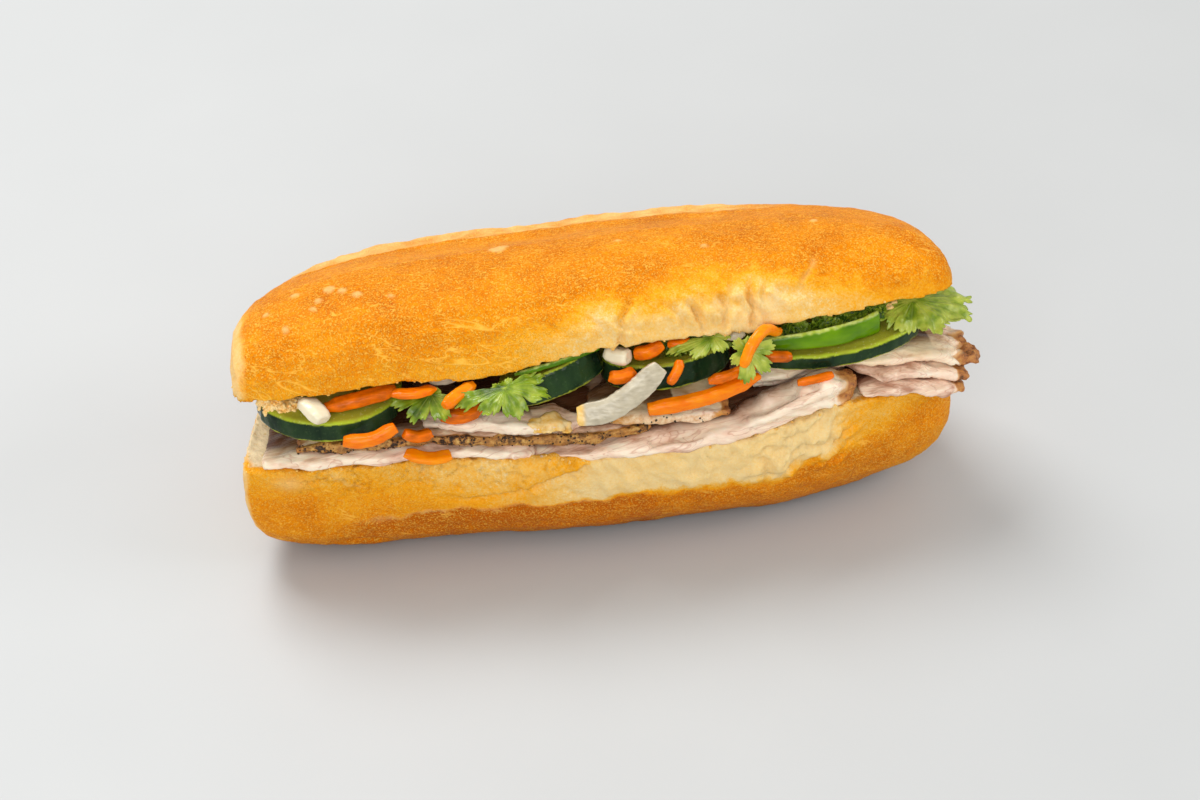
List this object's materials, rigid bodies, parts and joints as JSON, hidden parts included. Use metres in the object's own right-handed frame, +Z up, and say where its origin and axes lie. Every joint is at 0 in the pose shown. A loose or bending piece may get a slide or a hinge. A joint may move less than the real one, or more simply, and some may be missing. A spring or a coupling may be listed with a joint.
{
  "type": "filled bread roll",
  "caption": "Banh mi: a crusty golden roll split along the front and filled with roast pork, cucumber, green chilli, pickled carrot, daikon and coriander.",
  "frame": {"origin": "centre of the sandwich's footprint box, on the surface it rests on", "axes": "+X along the roll towards its right end, +Y from the open front to the uncut back, +Z up"},
  "size_m": [0.2038, 0.084, 0.0806],
  "materials": {
    "bread": "baked crust, satin",
    "pork": "moist cooked meat",
    "cucumber": "wet dark skin and pale flesh",
    "chilli": "glossy",
    "carrot": "wet",
    "daikon": "wet, translucent",
    "coriander": "soft leaf"
  },
  "bodies": {
    "root": {"bread": "bread", "carrot_01": "carrot", "carrot_02": "carrot", "carrot_03": "carrot", "carrot_04": "carrot", "carrot_05": "carrot", "carrot_06": "carrot", "carrot_07": "carrot", "carrot_08": "carrot", "carrot_09": "carrot", "carrot_10": "carrot", "carrot_11": "carrot", "carrot_12": "carrot", "carrot_13": "carrot", "carrot_14": "carrot", "carrot_15": "carrot", "carrot_16": "carrot", "chilli_left": "chilli", "chilli_right": "chilli", "cucumber_inner_left": "cucumber", "cucumber_inner_right": "cucumber", "cucumber_left": "cucumber", "cucumber_right": "cucumber", "daikon_01": "daikon", "daikon_02": "daikon", "daikon_03": "daikon", "daikon_04": "daikon", "daikon_05": "daikon", "leaf_inner_left": "coriander", "leaf_inner_right": "coriander", "leaf_left": "coriander", "leaf_right": "coriander", "leaf_tucked": "coriander", "pork_crusted": "pork", "pork_edge": "pork", "pork_folded": "pork", "pork_left": "pork", "pork_long": "pork", "pork_pale": "pork", "pork_right_low": "pork", "pork_right_middle": "pork"}
  },
  "joints": []
}
